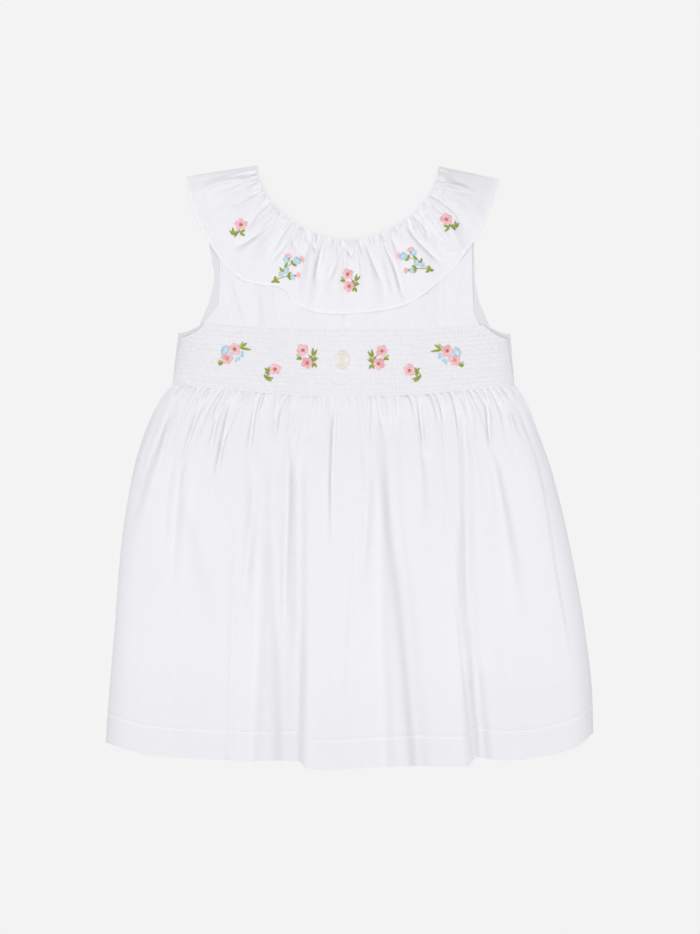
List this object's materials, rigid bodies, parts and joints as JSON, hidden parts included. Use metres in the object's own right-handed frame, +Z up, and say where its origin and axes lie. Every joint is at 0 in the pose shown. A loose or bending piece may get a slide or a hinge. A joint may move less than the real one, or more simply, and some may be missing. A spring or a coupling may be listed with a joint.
{
  "type": "toddler dress",
  "caption": "Sleeveless toddler dress laid flat: gathered neck ruffle, shirred bodice band and full gathered skirt, in white cotton with small embroidered sprays.",
  "frame": {"origin": "under the middle of the dress's outline, on the surface that it lies on", "axes": "+X to the right as the front is seen, +Y from the hem to the neck, +Z up out of the surface"},
  "size_m": [0.4033, 0.4994, 0.0126],
  "materials": {
    "white_cotton": "matt fine plain-weave cotton",
    "shirred_cotton": "matt cotton shirred on rows of elastic thread",
    "pink_thread": "satin-stitched embroidery thread, soft sheen",
    "blue_thread": "satin-stitched embroidery thread, soft sheen",
    "olive_thread": "satin-stitched embroidery thread, soft sheen",
    "ivory_thread": "satin-stitched embroidery thread, soft sheen"
  },
  "bodies": {
    "root": {"skirt_front": "white_cotton", "skirt_back": "white_cotton", "band_front": "shirred_cotton", "band_back": "shirred_cotton", "yoke_front": "white_cotton", "yoke_back": "white_cotton", "ruffle_front": "white_cotton", "ruffle_back": "white_cotton"}
  },
  "joints": []
}
